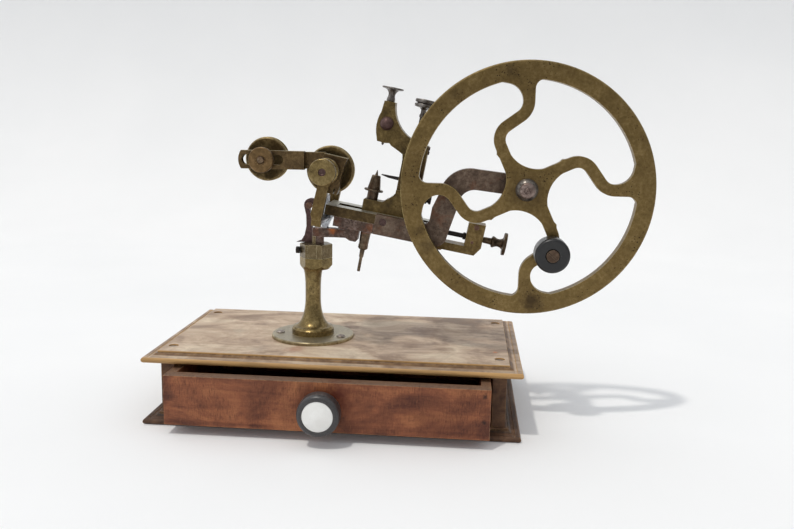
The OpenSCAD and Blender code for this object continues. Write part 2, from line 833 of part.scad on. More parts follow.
module carriage() {
    color(brass) difference() {
        head() {
            slab(-carriage_half, carriage_half) polygon(concat(
                [[foot_left, foot_under], [foot_left, foot_top - 0.6], [foot_left + 0.6, foot_top]],
                [[43.8, foot_top], [45.2, 41], [46.6, 42.8], [48.4, 43.6], [49.4, 45], [51, 45.9]],
                [[51.6, 47.4], [column_left, 48.3], [column_left, 72.6], [column_left - 0.7, 76.8]],
                [[48.4, 78.6], [42.8, 81.1], [41.4, 82.5]],
                [[38.4, upper_arm_low], [32.5, upper_arm_low + 0.4]],
                arc([54, 94], 24, 202, 158, 6),
                [[32.6, upper_arm_top], [40.5, upper_arm_top]],
                arc([66, 112], 25.6, 184, 264, 10),
                [[column_right, 85.6], [column_right, foot_under]]));
            box([column_left, -slot_half + 0.3, bed_mid - 0.2],
                [column_right, slot_half - 0.3, foot_under + 1]);
        }
        head() {
            translate([runner_u, 0, foot_under - 1]) cylinder(r = sleeve_r, h = 12);
            translate([runner_u, 0, 78]) cylinder(r = runner_r + clearance, h = 40);
            bar_y(clamp_at[0], clamp_at[1], 1.5, -carriage_half - 1, -1);
            translate([column_screw_u, 0, 66]) cylinder(r = 1.9 + clearance, h = 30);
            bar_x(0, side_screw_n, 1.3, 63, column_right + 1);
            bar_x(0, screw_n, leadscrew_r + clearance, column_left - 1, column_right + 1);
            box([column_left - 1, -1.5, finger_n - 1.3], [column_left + 3, 1.5, finger_n + 1.3]);
            for (u = keeper_screw_u) translate([u, 0, bed_mid - 1]) cylinder(r = 0.8, h = 1.9);
            box([column_left - 3, -carriage_half - 1, 51],
                [column_right + 1, column_face, column_shoulder]);
            bar_x(0, plug_n, 1.6, column_right - 4, column_right + 1);
        }
    }
}

module keeper_plate() {
    color(brass) difference() {
        head() box([column_left + 0.5, -9.4, bed_mid - 2.4],
                   [column_right - 0.5, 9.4, bed_mid - 0.2]);
        head() for (u = keeper_screw_u) translate([u, 0, bed_mid - 4]) cylinder(r = 0.8, h = 6);
    }
}

// Two screws hold the keeper plate, and one closes the bore of the column
module carriage_screws() {
    color(steel) head() {
        for (u = keeper_screw_u) translate([u, 0, bed_mid - 2.4]) {
            cylinder(r = 0.8, h = 3.2);
            translate([0, 0, -0.8]) cylinder(r = 1.7, h = 0.8);
        }
        column_plug();
    }
}

module column_plug() {
    difference() {
        union() {
            bar_x(0, plug_n, 1.6, column_right - 4, column_right);
            bar_x(0, plug_n, 2.9, column_right, column_right + 1);
        }
        box([column_right + 0.5, -4, plug_n - 0.4], [column_right + 2, 4, plug_n + 0.4]);
    }
}

module work_finger() {
    color(black) head() slab(-1.5, 1.5) polygon([
        [39.6, finger_n + 0.9], [column_left, finger_n + 1.2], [column_left + 3, finger_n + 1.2],
        [column_left + 3, finger_n - 1.2], [column_left, finger_n - 1.2], [45, finger_n - 0.8],
        [39.6, finger_n + 0.3]]);
}

module lower_sleeve() {
    color(steel) head() translate([runner_u, 0, 0]) rotate_extrude() polygon([
        [pin_r + clearance, -2.8], [1.6, -2.8], [1.8, 2.9], [2.4, 3], [3.4, 3.8], [3.6, 4.4],
        [3.6, 6.4], [3.4, 6.8], [3.9, 17], [3.9, foot_under - 0.3], [sleeve_r, foot_under - 0.3],
        [sleeve_r, foot_top], [4, foot_top], [4, 46.2], [runner_shaft_r + clearance, 46.2],
        [runner_shaft_r + clearance, 3.4], [pin_r + clearance, 3.4]]);
}

module lower_runner() {
    color(bright_steel) head() translate([runner_u, 0, 0]) rotate_extrude() polygon([
        [0, -13.6], [pin_r - 0.2, -13.6], [pin_r, -13.2], [pin_r, 4], [runner_shaft_r, 4],
        [runner_shaft_r, 47.9], [4.7, 47.9], [4.6, 48.8], [3.15, 57.6], [2.8, 58], [1.2, 58],
        [0.25, 61.7], [0, 61.8]]);
}

module rest_disc() {
    color(steel) head() translate([runner_u, 0, 0]) rotate_extrude() polygon([
        [runner_shaft_r, 46.5], [6.6, 46.5], [6.9, 46.8], [6.9, 47.6], [6.6, 47.9],
        [runner_shaft_r, 47.9]]);
}

module upper_runner() {
    color(steel) head() translate([runner_u, 0, 0]) rotate_extrude() polygon([
        [0, 80], [0.5, 80.2], [1, 81.2], [1, 84], [runner_r, 84.6], [runner_r, 115], [0, 115]]);
}

module upper_runner_button() {
    color(steel) head() translate([runner_u, 0, 0]) rotate_extrude() polygon(concat(
        [[0, 115], [runner_r, 115], [runner_r, upper_arm_top + 0.1],
         [3.05, upper_arm_top + 0.1], [3.05, upper_arm_top + 1.4]],
        arc([6.9, 115.4], 4.5, 205, 118, 8),
        [[7.4, 119.8], [7.7, 120.1], [7.7, 120.7], [7.3, 121], [0, 121.3]]));
}

module runner_clamp_screw() {
    color(steel) head() {
        bar_y(clamp_at[0], clamp_at[1], 1.5 - clearance, -carriage_half - 1, -2.3);
        turned_y(clamp_at[0], -carriage_half - 0.1, clamp_at[1]) polygon(concat(
            [[0, 0], [4.7, 0]], arc([0, -1.1], 5, 14, 90, 8)));
    }
}

module column_screw() {
    color(bright_steel) head() translate([column_screw_u, 0, 0]) rotate_extrude() polygon([
        [0, 68], [1.9, 68], [1.9, 104.2], [2.4, 104.6], [2.4, 106.4], [1.9, 106.9], [1.9, 109.6],
        [3.2, 110.9], [6.6, 111.5], [7.1, 111.9], [7.1, 113.4], [6.8, 113.8], [5.4, 114],
        [5.4, 114.4], [6.8, 114.6], [7.1, 115], [7.1, 116.5], [6.7, 117], [0, 117.4]]);
}

module side_screw() {
    color(black) head() translate([column_right - 5.4, 0, side_screw_n]) rotate([0, 90, 0]) rotate_extrude()
        polygon([[0, 0], [1.25, 0], [1.25, 5.4], [1.6, 5.5], [1.6, 9.6], [3.3, 9.8], [3.3, 11.1],
                 [2.4, 11.5], [2.4, 12.4], [3.2, 12.8], [3.2, 14.1], [2.8, 14.4], [0, 14.4]]);
}

// ---- Rocking cutter frame ----

// An upright of the cutter frame: its foot, which holds the shaft, is set back on the outside
module upright(v0, boss_end, outside) {
    eye_r = 8;
    middle = v0 + upright_t / 2;
    half = upright_t / 2;
    foot_out = middle + outside * (half - foot_step);
    foot_in = middle - outside * half;
    socket_end = middle + outside * (half - 2 * foot_step);
    head() difference() {
        union() {
            slab(v0, v0 + upright_t) {
                translate([spindle_u, spindle_n]) circle(r = eye_r);
                polygon([[3, 23.5], [8.9, 23.9], [9.2, 26.5], [10.2, 47.5], [13, 54],
                         [1, 54], [2.7, 46.5], [1.5, 27]]);
            }
            slab(min(foot_out, foot_in), max(foot_out, foot_in))
                polygon([[2.4, 28], [2.9, 19.4], [9.3, 19.4], [9, 28]]);
            bar_y(spindle_u, spindle_n, boss_r, v0, boss_end);
        }
        bar_y(spindle_u, spindle_n, spindle_r + clearance, v0 - 1, boss_end + 1);
        bar_y(rock_u, rock_n, shaft_end_r, min(socket_end, foot_in - outside),
              max(socket_end, foot_in - outside));
    }
}

module front_upright() {
    color(brass) upright(front_upright_v, yoke_back - 0.5, -1);
}

module rear_upright() {
    color(brass) upright(rear_upright_v, rear_upright_v + upright_t, 1);
}

module rocking_shaft() {
    color(bright_steel) head() {
        bar_y(rock_u, rock_n, shaft_r, front_upright_v + upright_t, rear_upright_v);
        bar_y(rock_u, rock_n, shaft_end_r, front_upright_v + 2 * foot_step,
              rear_upright_v + upright_t - 2 * foot_step);
    }
}

module cutter_spindle() {
    color(bright_steel) head() difference() {
        union() {
            bar_y(spindle_u, spindle_n, spindle_r, spindle_front - 16,
                  rear_upright_v + upright_t + 2);
            bar_y(spindle_u, spindle_n, 4, rear_upright_v - 1.6, rear_upright_v - 0.3);
        }
        turned_y(spindle_u, spindle_front - 14.6, spindle_n)
            polygon([[0, 0], [2, 1.5], [0, 1.5]]);
    }
}

module spindle_knob() {
    r = 8.9;
    color(brass) head() turned_y(spindle_u, spindle_front, spindle_n) polygon(concat(
        [[spindle_r, 0], [8.9, 0], [8.9, 3.6], [8.3, 4.2], [6, 4.6], [5.6, 10.8], [7.8, 11.3]],
        arc([r - 0.8, 12.4], 0.8, -60, 0, 4),
        arc([r - 1.1, 15.6], 1.1, 0, 80, 5),
        [[spindle_r, 16.5]]));
}

module drive_pulley() {
    color(brass) head() translate([spindle_u, cord_v, spindle_n]) rotate([90, 0, 0])
        rotate_extrude() polygon(concat(
            [[spindle_r, -4.4], [5.6, -4.4], [6, -1.9]],
            dish(6, drive_pulley_r - 1.4, -1),
            grooved_rim(drive_pulley_r - 1.2, drive_pulley_r, wheel_t, 2),
            dish(drive_pulley_r - 1.4, 6, 1),
            [[6, 1.9], [5.6, 4.4], [spindle_r, 4.4]]));
}

// Turns children about an axis along the depth
module rotate_about(u, n, a) {
    translate([u, 0, n]) rotate([0, a, 0]) translate([-u, 0, -n]) children();
}

module cutter() {
    color(steel) head() difference() {
        union() {
            bar_y(spindle_u, spindle_n, cutter_r, -0.8, 0.8);
            bar_y(spindle_u, spindle_n, 5, -3.4, -0.8);
        }
        bar_y(spindle_u, spindle_n, spindle_r, -5, 5);
        for (k = [0:cutter_teeth - 1]) rotate_about(spindle_u, spindle_n, k * 360 / cutter_teeth)
            translate([spindle_u + cutter_r, 0, spindle_n]) rotate([0, 45, 0])
                cube([1, 4, 1], center = true);
    }
}

module cutter_nut() {
    color(bright_steel) head() difference() {
        translate([spindle_u, 3.6, spindle_n]) rotate([90, 0, 0]) cylinder(r = 5, h = 2.8, $fn = 6);
        bar_y(spindle_u, spindle_n, spindle_r, 0, 5);
    }
}

// ---- Tension arm with the idler pulley ----

yoke_corners = [[2.6, 68.7], [18.6, 68.2], [17.3, 62], [16.6, 55], [16.7, 46.4], [15.8, 42.8],
                [9.8, 42.8], [9.8, 52], [1, 56]];

module tension_yoke() {
    x = spindle_at[0];
    z = spindle_at[1];
    bar_low = bar_mid_z - 5.6;
    bar_high = bar_mid_z + 5.7;
    color(brass) difference() {
        union() {
            slab(head_y + yoke_front + 0.2, head_y + yoke_back) union() {
                polygon([for (p = yoke_corners) head_pt(p[0], p[1])]);
                translate(spindle_at) circle(r = 7.8);
            }
            slab(head_y + rear_bar_front, head_y + yoke_back - 0.2) polygon([
                [bar_right - 9, bar_low], [bar_right - 9, bar_high], [x - 2, bar_high],
                [x, z + 4], [x - 6, z - 3], [x - 12, bar_low]]);
        }
        bar_y(x, z, boss_r + clearance, head_y + yoke_front - 1, head_y + yoke_back + 1);
        head() box([13.1, yoke_front - 1, 40], [14.1, yoke_back + 1, 46.8]);
    }
}

module slotted_bar() {
    color(brass) slab(head_y + slotted_front, head_y + rear_bar_front) difference() {
        polygon(concat(
            [[bar_right, bar_mid_z - bar_half_h], [bar_right, bar_mid_z + bar_half_h]],
            arc([bar_left + 9, bar_mid_z], 11.1, 146, 214, 8)));
        translate([bar_slot_left + bar_slot_half, bar_mid_z]) circle(r = bar_slot_half);
        translate([bar_slot_left + bar_slot_half, bar_mid_z - bar_slot_half])
            square([bar_slot_right - bar_slot_left - 2 * bar_slot_half, 2 * bar_slot_half]);
        translate([bar_slot_right - bar_slot_half, bar_mid_z]) circle(r = bar_slot_half);
    }
}

module idler_stud() {
    color(bright_steel) turned_y(idler_at[0], 0, bar_mid_z) polygon([
        [0, -head_y - wheel_back - 1.8], [4, -head_y - wheel_back - 1.8],
        [4, -head_y - wheel_back - 0.4], [2.4, -head_y - wheel_back - 0.4],
        [2.4, -head_y - wheel_front + 0.3], [4.6, -head_y - wheel_front + 0.3],
        [4.6, -head_y - rear_bar_front - 0.2], [3.1, -head_y - rear_bar_front - 0.2],
        [3.1, -head_y - slotted_front - 0.3], [2.4, -head_y - slotted_front - 0.3],
        [2.4, nut_front + 0.2], [1.8, nut_front + 0.7], [0.9, nut_front + 0.7], [0, nut_front]]);
}

module idler_nut() {
    color(brass) turned_y(idler_at[0], 0, bar_mid_z) polygon(concat(
        [[2.4 + clearance, -head_y - slotted_front + 0.1], [8.3, -head_y - slotted_front + 0.1]],
        arc([7.7, nut_front - 3.6], 0.9, -40, 0, 3),
        arc([7.4, nut_front - 1.2], 1.2, 0, 80, 5),
        [[4, nut_front - 0.2], [3.4, nut_front - 0.7], [2.4 + clearance, nut_front - 0.7]]));
}

module idler_pulley() {
    inner = 2.4 + clearance;
    color(brass) translate([idler_at[0], head_y + cord_v, bar_mid_z]) rotate([90, 0, 0])
        rotate_extrude() polygon(concat(
            [[inner, -3.9], [5, -3.9], [5.3, -1.8]],
            dish(5.4, idler_pulley_r - 1.4, -1),
            grooved_rim(idler_pulley_r - 1.2, idler_pulley_r, wheel_t, 2),
            dish(idler_pulley_r - 1.4, 5.4, 1),
            [[5.3, 1.8], [5, 3.9], [inner, 3.9]]));
}

bottom_board();
left_panel();
right_panel();
back_panel();
top_board();
board_screws();
drawer_front();
drawer_left_side();
drawer_right_side();
drawer_back();
drawer_floor();
knob_body();
knob_disc();
pillar_flange();
flange_screws();
pillar_column();
swivel_collar();
collar_screw();
support_arm();
bearing_post();
rear_strut();
bed();
bed_screws();
goose_neck();
goose_neck_screws();
end_block();
end_block_screws();
wheel_axle();
hub_cap();
axle_nut();
handwheel();
crank_stud();
crank_knob();
leadscrew();
leadscrew_knob();
carriage();
keeper_plate();
carriage_screws();
work_finger();
lower_sleeve();
lower_runner();
rest_disc();
upper_runner();
upper_runner_button();
runner_clamp_screw();
column_screw();
side_screw();
front_upright();
rear_upright();
rocking_shaft();
cutter_spindle();
spindle_knob();
drive_pulley();
cutter();
cutter_nut();
tension_yoke();
slotted_bar();
idler_stud();
idler_nut();
idler_pulley();
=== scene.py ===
import json
import math

import bmesh
import bpy
from mathutils import Matrix, Vector


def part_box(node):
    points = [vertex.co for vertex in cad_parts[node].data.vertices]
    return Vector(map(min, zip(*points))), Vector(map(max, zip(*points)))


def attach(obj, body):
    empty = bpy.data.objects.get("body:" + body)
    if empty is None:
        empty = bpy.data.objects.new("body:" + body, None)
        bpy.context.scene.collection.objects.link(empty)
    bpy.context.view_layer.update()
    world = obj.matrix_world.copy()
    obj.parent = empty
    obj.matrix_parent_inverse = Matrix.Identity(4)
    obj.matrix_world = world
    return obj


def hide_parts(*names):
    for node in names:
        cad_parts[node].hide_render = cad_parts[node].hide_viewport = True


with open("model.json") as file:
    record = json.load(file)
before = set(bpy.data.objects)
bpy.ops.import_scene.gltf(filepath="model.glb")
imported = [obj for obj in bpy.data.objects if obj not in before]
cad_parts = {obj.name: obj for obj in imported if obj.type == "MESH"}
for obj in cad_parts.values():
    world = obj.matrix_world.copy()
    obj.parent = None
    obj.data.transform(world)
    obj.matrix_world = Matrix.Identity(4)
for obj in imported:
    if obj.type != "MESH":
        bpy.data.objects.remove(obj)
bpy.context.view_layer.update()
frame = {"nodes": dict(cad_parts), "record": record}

MM = 0.001
NODE_BODY = {n: body for body, ns in frame["record"]["behaviour"]["bodies"].items() for n in ns}
SLOTS = {s["node"]: s["material_slot"] for s in frame["record"]["subparts"]}


# ---------------------------------------------------------------- shader building

EDGE_SAMPLES = 6
EDGE_BEND = (0.02, 0.25)
SPOT_RAGGED = 1.6


class Shader:
    """A material that is built node by node; places are in millimetres on the object."""

    def __init__(self, name):
        self.material = bpy.data.materials.new(name)
        self.material.use_nodes = True
        self.tree = self.material.node_tree
        self.tree.nodes.clear()
        self.output = self.tree.nodes.new("ShaderNodeOutputMaterial")
        self.bsdf = self.tree.nodes.new("ShaderNodeBsdfPrincipled")
        self.link(self.bsdf.outputs[0], self.output.inputs[0])
        coordinates = self.tree.nodes.new("ShaderNodeTexCoord")
        self.place = self.mapped(coordinates.outputs["Object"], [1 / MM] * 3)

    def link(self, source, target):
        self.tree.links.new(source, target)

    def feed(self, socket, value):
        if isinstance(value, bpy.types.NodeSocket):
            self.link(value, socket)
        elif socket.type == "RGBA" and len(value) == 3:
            socket.default_value = (*value, 1)
        else:
            socket.default_value = value

    def mapped(self, source, scale, shift=(0, 0, 0)):
        node = self.tree.nodes.new("ShaderNodeMapping")
        self.link(source, node.inputs["Vector"])
        node.inputs["Scale"].default_value = scale
        node.inputs["Location"].default_value = shift
        return node.outputs[0]

    def stretched(self, scale, shift=(0, 0, 0)):
        return self.mapped(self.place, scale, shift)

    def noise(self, scale, detail=4, rough=0.5, where=None, warp=0.0):
        node = self.tree.nodes.new("ShaderNodeTexNoise")
        self.link(where or self.place, node.inputs["Vector"])
        node.inputs["Scale"].default_value = scale
        node.inputs["Detail"].default_value = detail
        node.inputs["Roughness"].default_value = rough
        node.inputs["Distortion"].default_value = warp
        return node.outputs["Fac"]

    def cells(self, scale, where=None, feature="F1"):
        node = self.tree.nodes.new("ShaderNodeTexVoronoi")
        node.feature = feature
        self.link(where or self.place, node.inputs["Vector"])
        node.inputs["Scale"].default_value = scale
        return node.outputs["Distance"]

    def ramp(self, value, *stops):
        """Stops are (position, colour or grey level)."""
        node = self.tree.nodes.new("ShaderNodeValToRGB")
        self.feed(node.inputs[0], value)
        elements = node.color_ramp.elements
        while len(elements) < len(stops):
            elements.new(0.5)
        for element, (position, colour) in zip(elements, stops):
            element.position = position
            grey = isinstance(colour, (int, float))
            element.color = (colour, colour, colour, 1) if grey else (*colour, 1)
        return node.outputs[0]

    def mix(self, amount, a, b, how="MIX"):
        node = self.tree.nodes.new("ShaderNodeMix")
        node.data_type = "RGBA"
        node.blend_type = how
        self.feed(node.inputs[0], amount)
        self.feed(node.inputs[6], a)
        self.feed(node.inputs[7], b)
        return node.outputs[2]

    def math(self, how, a, b):
        node = self.tree.nodes.new("ShaderNodeMath")
        node.operation = how
        self.feed(node.inputs[0], a)
        self.feed(node.inputs[1], b)
        return node.outputs[0]

    def level(self, value, low, high, to_low=0.0, to_high=1.0):
        node = self.tree.nodes.new("ShaderNodeMapRange")
        node.clamp = True
        self.feed(node.inputs["Value"], value)
        for socket, number in zip(("From Min", "From Max", "To Min", "To Max"),
                                  (low, high, to_low, to_high)):
            node.inputs[socket].default_value = number
        return node.outputs[0]

    def edges(self, radius_mm):
        """1 on sharp edges, where handling has worn the surface, and 0 on flat stretches."""
        rounded = self.tree.nodes.new("ShaderNodeBevel")
        rounded.samples = EDGE_SAMPLES
        rounded.inputs["Radius"].default_value = radius_mm * MM
        flat = self.tree.nodes.new("ShaderNodeNewGeometry")
        dot = self.tree.nodes.new("ShaderNodeVectorMath")
        dot.operation = "DOT_PRODUCT"
        self.link(rounded.outputs[0], dot.inputs[0])
        self.link(flat.outputs["Normal"], dot.inputs[1])
        bend = self.math("SUBTRACT", 1.0, dot.outputs["Value"])
        return self.level(bend, *EDGE_BEND)

    def spot(self, centre_mm, radius_mm, soft=0.75):
        """1 inside a soft ball around a point of the object."""
        distance = self.tree.nodes.new("ShaderNodeVectorMath")
        distance.operation = "DISTANCE"
        self.link(self.place, distance.inputs[0])
        distance.inputs[1].default_value = centre_mm
        wobble = self.noise(SPOT_RAGGED / radius_mm, 5, 0.65)
        shift = self.math("MULTIPLY", self.math("SUBTRACT", wobble, 0.5), radius_mm * SPOT_RAGGED)
        reach = self.math("ADD", distance.outputs["Value"], shift)
        return self.level(reach, radius_mm * (1 - soft), radius_mm, 1.0, 0.0)

    def axis(self, name):
        node = self.tree.nodes.new("ShaderNodeSeparateXYZ")
        self.link(self.place, node.inputs[0])
        return node.outputs[name]

    def facing(self, direction):
        """How squarely the surface faces a direction of the object, from -1 to 1."""
        node = self.tree.nodes.new("ShaderNodeTexCoord")
        dot = self.tree.nodes.new("ShaderNodeVectorMath")
        dot.operation = "DOT_PRODUCT"
        self.link(node.outputs["Normal"], dot.inputs[0])
        dot.inputs[1].default_value = direction
        return dot.outputs["Value"]

    def bump(self, height, distance_mm, strength):
        node = self.tree.nodes.new("ShaderNodeBump")
        node.inputs["Strength"].default_value = strength
        node.inputs["Distance"].default_value = distance_mm * MM
        self.link(height, node.inputs["Height"])
        return node.outputs[0]

    def finish(self, colour, roughness, normal, **constants):
        self.feed(self.bsdf.inputs["Base Color"], colour)
        self.feed(self.bsdf.inputs["Roughness"], roughness)
        self.link(normal, self.bsdf.inputs["Normal"])
        for name, value in constants.items():
            self.bsdf.inputs[name.replace("_", " ")].default_value = value
        return self.material


def srgb(r, g, b):
    """A display colour, 0 to 255, as the linear light that shaders use."""
    return tuple(((c / 255 + 0.055) / 1.055) ** 2.4 for c in (r, g, b))


# ---------------------------------------------------------------- places on the object

JOINTS = {j["name"]: j for j in frame["record"]["behaviour"]["joints"]}
ALONG_BED = Vector(JOINTS["carriage_slide"]["axis"])
OFF_BED = Vector(JOINTS["lower_runner_lift"]["axis"])
SCREW_LINE = Vector(JOINTS["leadscrew_turn"]["pos_m"]) / MM
SCREW_LINE_U, SCREW_LINE_N = 110, 27.8


def on_head(u, v, n):
    """A point of the leaning head: u along the bed, v away from the user, n square to the bed."""
    return tuple(SCREW_LINE + (u - SCREW_LINE_U) * ALONG_BED + Vector((0, v, 0))
                 + (n - SCREW_LINE_N) * OFF_BED)


def middle(node):
    """The middle of a node's box, in millimetres, as lowest and highest give its corners."""
    low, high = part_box(node)
    return [(a + b) / 2 / MM for a, b in zip(low, high)]


def lowest(node):
    return [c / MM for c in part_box(node)[0]]


def highest(node):
    return [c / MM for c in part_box(node)[1]]


def beside(node, x, y, z):
    """A point given from the middle of a node's box."""
    centre = middle(node)
    return (centre[0] + x, centre[1] + y, centre[2] + z)


# ---------------------------------------------------------------- materials

def wood(name, light, middle_tone, dark, edge, seed, along="X", wear=0.3, stain=0.5,
         gloss=0.5, zones=(), sides=None, ticks=0.0, rims=None, figure_amount=1.0, cove_shade=None):
    """Varnished old wood, with its grain along one axis.

    Zones are (centre, radius, amount, colour); sides is the tone away from the top, rims the
    greyer tone of upward faces, toned down as painted shade under a board above, ticks the
    strength of the crackled varnish, and the cove entry gives (lowest z, highest z, colour) of
    painted shade in the hollow of a moulding."""
    s = Shader(name)
    stretch = {"X": (0.07, 1, 1), "Y": (1, 0.07, 1)}[along]
    grain_place = s.stretched(stretch, (seed, seed * 0.7, seed * 1.3))
    figure = s.noise(0.10, 5, 0.62, grain_place, 0.9)
    patches = s.noise(0.03, 6, 0.68, s.stretched((0.7, 1, 1), (seed, 2, seed)), 0.5)
    fibre = s.noise(1.4, 5, 0.7, s.stretched([0.35 if c < 1 else 1 for c in stretch]))
    pores = s.noise(4.5, 3, 0.6, grain_place)
    tone = s.mix(0.5 * figure_amount, s.level(patches, 0.3, 0.7), s.level(figure, 0.3, 0.7))
    colour = s.ramp(tone, (0.24, dark), (0.5, middle_tone), (0.8, light))
    deep = [c * 0.45 for c in dark]
    colour = s.mix(s.level(fibre, 0.5, 0.75, 0.0, 0.4), colour, dark)
    colour = s.mix(s.level(pores, 0.62, 0.74, 0.0, 0.4), colour, deep)
    blotch = s.noise(0.022, 5, 0.62, s.stretched((1, 1, 1), (seed * 2, seed, 3)), 0.7)
    colour = s.mix(s.level(blotch, 0.5, 0.68, 0.0, stain), colour, dark)
    if sides is not None:
        away = s.level(s.facing((0, 0, 1)), 0.80, 0.97, 1.0, 0.0)
        side_tone = s.ramp(s.noise(0.22, 5, 0.7, grain_place), (0.3, [c * 0.5 for c in sides]),
                           (0.55, sides), (0.8, [min(1, c * 1.35) for c in sides]))
        colour = s.mix(away, colour, side_tone)
    # painted shade: the hollow between two heights is darkened with a mottled colour, standing for
    # the shade under the step
    if cove_shade is not None:
        low, high, shade = cove_shade
        z = s.axis("Z")
        band = s.math("MULTIPLY", s.level(z, low - 0.4, low + 0.3),
                      s.level(z, high - 0.3, high + 0.2, 1.0, 0.0))
        cove_shade_mottle = s.level(s.noise(0.12, 5, 0.65), 0.3, 0.6, 0.45, 1.0)
        colour = s.mix(s.math("MULTIPLY", band, cove_shade_mottle), colour, shade)
    # upward faces take the rims tone, a greyer tone toned down as painted shade under the top
    # board
    if rims is not None:
        rim_facing_up = s.level(s.facing((0, 0, 1)), 0.6, 0.9)
        colour = s.mix(s.math("MULTIPLY", rim_facing_up, 0.85), colour,
                       s.ramp(fibre, (0.35, [c * 0.6 for c in rims]), (0.65, rims)))
    if ticks:
        tick = s.level(s.noise(1.1, 5, 0.8, s.stretched((1, 0.2, 0.16), (seed, 0, 0))), 0.50, 0.66)
        where = s.level(s.noise(0.05, 3), 0.35, 0.6, 0.25, 1.0)
        tick = s.math("MULTIPLY", tick, where)
        colour = s.mix(s.math("MULTIPLY", tick, ticks), colour, deep)
        glint = s.level(s.noise(0.8, 5, 0.8, s.stretched((1, 0.3, 0.25), (0, seed, 0))), 0.56, 0.7)
        colour = s.mix(s.math("MULTIPLY", glint, 0.3), colour, light)
    nicks = s.level(s.cells(0.13, s.stretched((1, 1, 1), (seed, 5, 2))), 0.0, 0.03, 1.0, 0.0)
    colour = s.mix(s.math("MULTIPLY", nicks, 0.7), colour, deep)
    for centre, radius, amount, tint in zones:
        colour = s.mix(s.math("MULTIPLY", s.spot(centre, radius), amount), colour, tint)
    rubbed = s.math("MULTIPLY", s.edges(1.3), s.level(s.noise(0.3, 4), 0.35, 0.6))
    colour = s.mix(s.math("MULTIPLY", rubbed, wear * 2), colour, edge)
    height = s.math("ADD", s.math("MULTIPLY", fibre, 0.6),
                    s.math("SUBTRACT", s.math("MULTIPLY", pores, -0.5), nicks))
    if ticks:
        height = s.math("SUBTRACT", height, tick)
    rough = s.level(blotch, 0.3, 0.7, gloss, gloss + 0.2)
    return s.finish(colour, rough, s.bump(height, 0.22, 0.5), Specular_IOR_Level=0.3)


RUST = srgb(150, 84, 46)
PIT = srgb(38, 29, 22)


def aged_metal(name, dark, base, light, edge, film, film_amount=0.4, specks=0.5, zones=(),
               rough=(0.30, 0.50), metallic=0.85, edge_amount=0.7, edge_mm=0.5, turned=False,
               rust=0.0, faces=(), seed=0.0):
    """Old metal: mottled tone, a dirty film, pits, bright worn edges and rust.

    Zones are (centre, radius, amount, colour) and faces are (direction, colour, amount), a painted
    highlight that pales the faces turned that way."""
    s = Shader(name)
    where = s.stretched((1, 1, 1), (seed, seed * 1.7, seed * 0.6))
    cloud = s.noise(0.11, 6, 0.66, where, 0.5)
    mottle = s.noise(0.45, 5, 0.62, where)
    fine = s.noise(1.5, 4, 0.6)
    tone = s.math("ADD", s.math("MULTIPLY", cloud, 0.5), s.math("MULTIPLY", mottle, 0.5))
    colour = s.ramp(tone, (0.36, dark), (0.5, base), (0.64, light))
    colour = s.mix(s.level(fine, 0.5, 0.75, 0.0, 0.35), colour, film)
    smear = s.level(s.noise(0.035, 5, 0.62, s.stretched((1, 1, 1), (7 + seed, 3, 1))), 0.48, 0.66,
                    0.0, film_amount)
    colour = s.mix(smear, colour, film)
    # painted highlight: faces turned one way are given a paler colour, standing for the light
    # falling on them
    for direction, tint, amount in faces:
        colour = s.mix(s.level(s.facing(direction), 0.8, 0.95, 0.0, amount), colour, tint)
    for centre, radius, amount, tint in zones:
        colour = s.mix(s.math("MULTIPLY", s.spot(centre, radius), amount), colour, tint)
    if rust:
        patch = s.level(s.noise(0.09, 6, 0.72, s.stretched((1, 1, 1), (4, 9 + seed, 2))),
                        0.52, 0.64, 0.0, rust)
        colour = s.mix(patch, colour, s.mix(fine, RUST, [c * 0.4 for c in RUST]))
    pit_size = s.level(s.noise(0.07, 3, 0.5, where), 0.40, 0.66, 0.03, 0.27)
    pits = s.math("MAXIMUM", s.math("LESS_THAN", s.cells(0.5), pit_size),
                  s.math("LESS_THAN", s.cells(1.1, where), s.math("MULTIPLY", pit_size, 0.8)))
    colour = s.mix(s.math("MULTIPLY", pits, specks), colour, PIT)
    worn = s.math("MULTIPLY", s.edges(edge_mm), s.level(s.noise(0.5, 4), 0.3, 0.55))
    colour = s.mix(s.math("MULTIPLY", worn, edge_amount), colour, edge)
    shine = s.level(s.math("ADD", fine, s.math("MULTIPLY", cloud, 0.6)), 0.5, 1.1, *rough)
    if rust:
        shine = s.math("ADD", shine, s.math("MULTIPLY", patch, 0.3))
    scratch = s.noise(6.0, 2, 0.5, s.stretched((1, 1, 0.08) if turned else (0.10, 1, 1)))
    height = s.math("ADD", s.math("MULTIPLY", scratch, 0.3), s.math("MULTIPLY", mottle, 0.5))
    height = s.math("SUBTRACT", height, s.math("MULTIPLY", pits, 0.8))
    return s.finish(colour, shine, s.bump(height, 0.06, 0.5), Metallic=metallic)


def ebony(name, body, worn_tone):
    """Black polished wood, browner where it is handled, with a little dust."""
    s = Shader(name)
    grain = s.noise(1.2, 5, 0.6, s.stretched((1, 0.12, 1)))
    fine = s.noise(0.5, 5, 0.6)
    colour = s.ramp(grain, (0.35, [c * 0.5 for c in body]), (0.7, body))
    worn = s.math("MULTIPLY", s.edges(1.2), s.level(fine, 0.40, 0.60))
    colour = s.mix(s.math("MULTIPLY", worn, 0.7), colour, worn_tone)
    dust = s.math("LESS_THAN", s.cells(0.45), s.level(s.noise(0.1, 3), 0.5, 0.7, 0.0, 0.1))
    colour = s.mix(s.math("MULTIPLY", dust, 0.5), colour, srgb(140, 132, 124))
    return s.finish(colour, s.level(fine, 0.3, 0.7, 0.28, 0.46), s.bump(grain, 0.05, 0.4),
                    Coat_Weight=0.2, Coat_Roughness=0.25)


